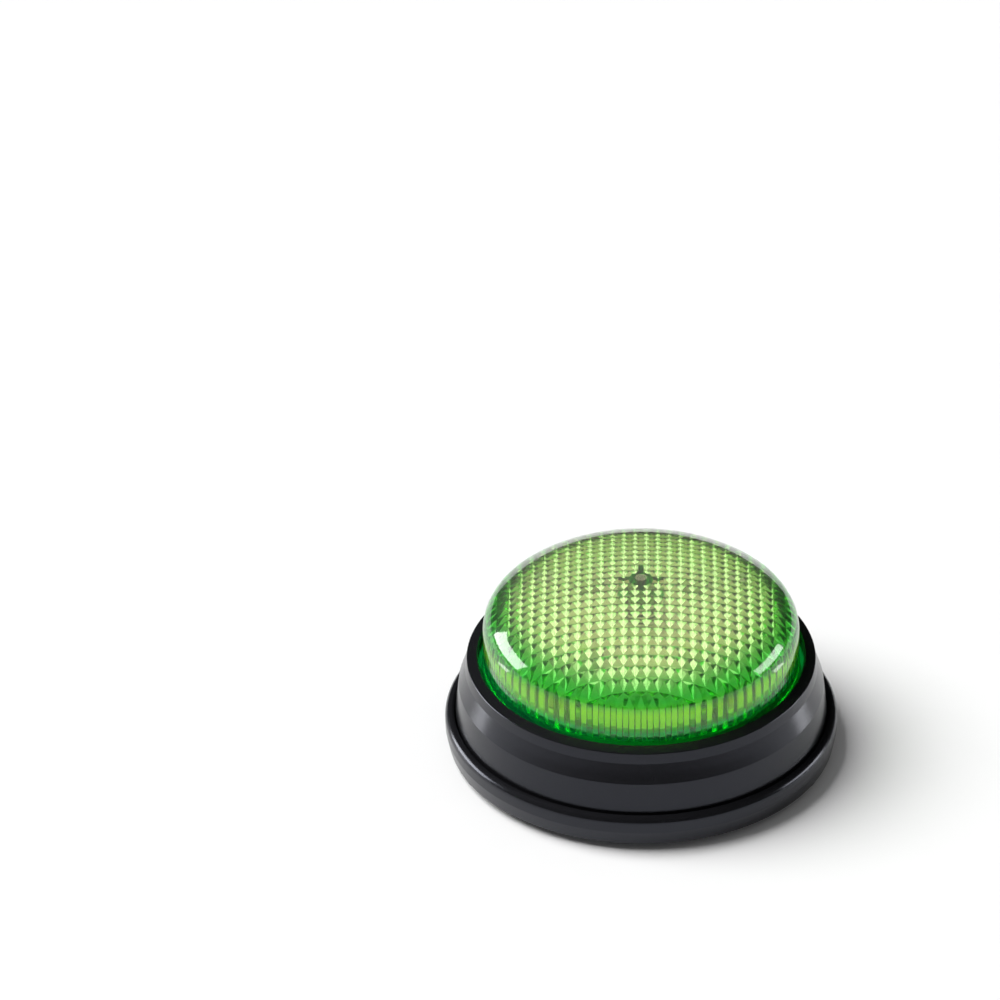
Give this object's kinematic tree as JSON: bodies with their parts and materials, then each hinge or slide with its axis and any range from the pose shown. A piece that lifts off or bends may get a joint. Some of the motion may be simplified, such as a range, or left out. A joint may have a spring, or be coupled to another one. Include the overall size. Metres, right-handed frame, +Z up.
{
  "type": "quiz buzzer",
  "caption": "Round quiz buzzer: a wide clear green dome that presses down as one big button, in a black flared housing on a flanged tray with rubber feet.",
  "frame": {"origin": "centre of the underside at table height, between the feet", "axes": "+Z up along the dome's axis; the front is towards -Y"},
  "size_m": [0.0888, 0.0888, 0.0437],
  "materials": {
    "black_abs": "satin moulded ABS",
    "green_lens": "clear green tinted plastic, faceted inside",
    "zinc_steel": "zinc plated",
    "spring_steel": "drawn wire",
    "foot_rubber": "matt",
    "white_plastic": "satin white",
    "board_laminate": "phenolic board with green lacquer",
    "switch_plastic": "matt black",
    "chip_resin": "cured resin",
    "capacitor_sleeve": "shrink sleeve",
    "resistor_lacquer": "lacquer with colour bands",
    "gasket_foam": "closed cell foam",
    "magnet_ferrite": "ground ferrite",
    "cone_film": "pressed film",
    "cell_jacket": "plain printed jacket over a steel can",
    "contact_nickel": "nickel plated spring steel",
    "lamp_epoxy": "clear epoxy",
    "wire_red": "soft insulation",
    "wire_black": "soft insulation"
  },
  "bodies": {
    "base": {"base_tray": "black_abs", "upper_housing": "black_abs", "housing_screws": "zinc_steel", "foot_front_left": "foot_rubber", "foot_front_right": "foot_rubber", "foot_rear_right": "foot_rubber", "foot_rear_left": "foot_rubber", "reflector_plate": "white_plastic", "circuit_board": "board_laminate", "board_screws": "zinc_steel", "switch_body": "switch_plastic", "lamp_front_left": "lamp_epoxy", "lamp_front_right": "lamp_epoxy", "lamp_rear_right": "lamp_epoxy", "lamp_rear_left": "lamp_epoxy", "sound_chip": "chip_resin", "capacitor": "capacitor_sleeve", "resistor_front": "resistor_lacquer", "resistor_rear": "resistor_lacquer", "speaker_gasket": "gasket_foam", "speaker_basket": "zinc_steel", "speaker_magnet": "magnet_ferrite", "speaker_cone": "cone_film", "cell_front": "cell_jacket", "cell_rear": "cell_jacket", "contact_negative": "contact_nickel", "contact_positive": "contact_nickel", "contact_bridge": "contact_nickel", "battery_wire_red": "wire_red", "battery_wire_black": "wire_black", "speaker_wires": "wire_black", "return_spring": "spring_steel"},
    "button": {"dome_lens": "green_lens"},
    "switch_button": {"switch_plunger": "switch_plastic"},
    "battery_cover": {"battery_door": "black_abs", "door_screw": "zinc_steel"}
  },
  "joints": [
    {"name": "dome_press", "type": "slide", "parent": "base", "child": "button", "axis": [0, 0, -1], "range_m": [0, 0.0025], "stiffness_N_per_m": 600, "springref_m": -0.003, "deforming": ["return_spring"]},
    {"name": "switch_press", "type": "slide", "parent": "base", "child": "switch_button", "axis": [0, 0, -1], "range_m": [0, 0.00025]},
    {"name": "battery_door_hinge", "type": "hinge", "parent": "base", "child": "battery_cover", "pos_m": [-0.0285, 0.012, 0.0026], "axis": [0, 1, 0], "range_deg": [0, 45]}
  ],
  "couplings": [
    {"joint": "switch_press", "follows": "dome_press", "ratio": 0.1}
  ]
}
